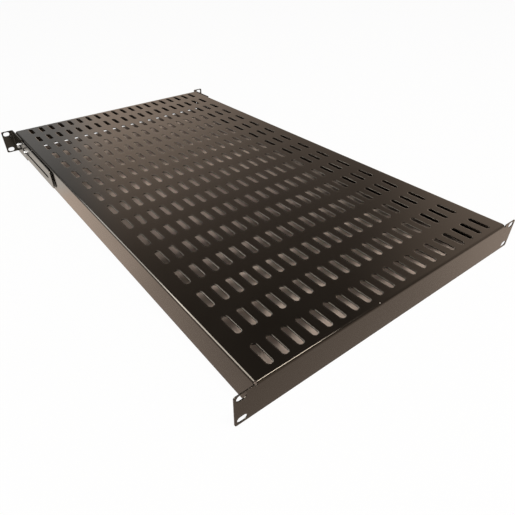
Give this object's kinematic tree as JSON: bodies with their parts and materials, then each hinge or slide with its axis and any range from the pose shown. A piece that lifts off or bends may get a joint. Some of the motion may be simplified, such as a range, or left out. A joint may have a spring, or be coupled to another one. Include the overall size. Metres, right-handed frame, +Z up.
{
  "type": "vented rack shelf with adjustable rear brackets",
  "caption": "Black 1U vented sheet-steel shelf for 19-inch four-post racks, with front ears and slotted sliding rear brackets.",
  "frame": {"origin": "centre of the front ears' four rack holes, on the ears' rear face, which seats on the front rails", "axes": "+X to the right seen from the front of the rack, +Y towards the back of the rack, +Z up"},
  "size_m": [0.4826, 0.8125, 0.044],
  "materials": {
    "black_powder_coat": "fine-textured semi-gloss black powder coat on steel",
    "zinc_steel": "bright zinc-plated steel"
  },
  "bodies": {
    "shelf": {"shelf_pan": "black_powder_coat", "bracket_screw_left_front": "zinc_steel", "bracket_screw_left_rear": "zinc_steel", "bracket_screw_right_front": "zinc_steel", "bracket_screw_right_rear": "zinc_steel", "bracket_washer_left_front": "zinc_steel", "bracket_washer_left_rear": "zinc_steel", "bracket_washer_right_front": "zinc_steel", "bracket_washer_right_rear": "zinc_steel", "bracket_spacer_left_front": "zinc_steel", "bracket_spacer_left_rear": "zinc_steel", "bracket_spacer_right_front": "zinc_steel", "bracket_spacer_right_rear": "zinc_steel", "lock_washer_left_front": "zinc_steel", "lock_washer_left_rear": "zinc_steel", "lock_washer_right_front": "zinc_steel", "lock_washer_right_rear": "zinc_steel", "lock_nut_left_front": "zinc_steel", "lock_nut_left_rear": "zinc_steel", "lock_nut_right_front": "zinc_steel", "lock_nut_right_rear": "zinc_steel"},
    "left_bracket": {"rear_bracket_left": "black_powder_coat"},
    "right_bracket": {"rear_bracket_right": "black_powder_coat"}
  },
  "joints": [
    {"name": "left_bracket_slide", "type": "slide", "parent": "shelf", "child": "left_bracket", "axis": [0, 1, 0], "range_m": [0, 0.131]},
    {"name": "right_bracket_slide", "type": "slide", "parent": "shelf", "child": "right_bracket", "axis": [0, 1, 0], "range_m": [0, 0.131]}
  ]
}
